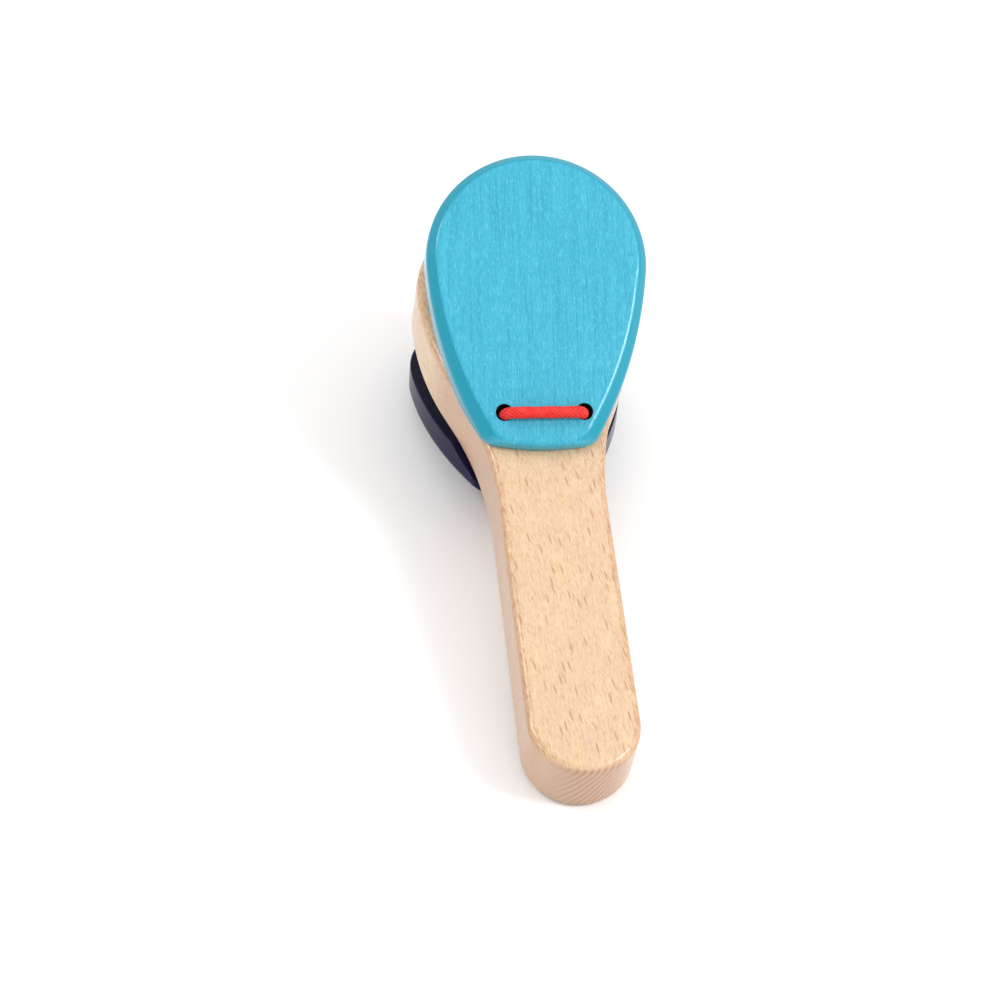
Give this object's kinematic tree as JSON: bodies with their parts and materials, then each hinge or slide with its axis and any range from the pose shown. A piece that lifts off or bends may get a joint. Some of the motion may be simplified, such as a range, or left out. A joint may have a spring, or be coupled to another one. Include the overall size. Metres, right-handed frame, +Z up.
{
  "type": "castanets",
  "caption": "Wooden castanets on a stick: painted pear-shaped clappers sprung open on each side of a paddle by an elastic cord.",
  "frame": {"origin": "on the table under the middle of the bounding box, with the castanets laid down on the back clapper's tip and the grip's end", "axes": "+Z up from the table, +Y along the stick from the grip towards the round head, +X across it"},
  "size_m": [0.0565, 0.168, 0.0777],
  "materials": {
    "beech": "sanded, clear matt lacquer",
    "teal_paint": "satin stain paint on beech",
    "navy_paint": "satin stain paint on beech",
    "red_elastic": "braided elastic cord"
  },
  "bodies": {
    "handle": {"paddle_handle": "beech", "cord_leg_left": "red_elastic", "cord_leg_right": "red_elastic"},
    "front": {"front_clapper": "teal_paint", "cord_front_strand": "red_elastic"},
    "back": {"back_clapper": "navy_paint", "cord_back_strand": "red_elastic", "cord_knot": "red_elastic"}
  },
  "joints": [
    {"name": "front_clap", "type": "hinge", "parent": "handle", "child": "front", "pos_m": [-0.00136, 0.01852, 0.03752], "axis": [-0.9988, 0.0488, 0.0096], "range_deg": [0, 21.4], "stiffness_Nm_per_rad": 0.12, "springref_deg": -40.11},
    {"name": "back_clap", "type": "hinge", "parent": "handle", "child": "back", "pos_m": [-0.00136, 0.02201, 0.01976], "axis": [0.9988, -0.0488, -0.0096], "range_deg": [0, 21.4], "stiffness_Nm_per_rad": 0.12, "springref_deg": -40.11}
  ]
}
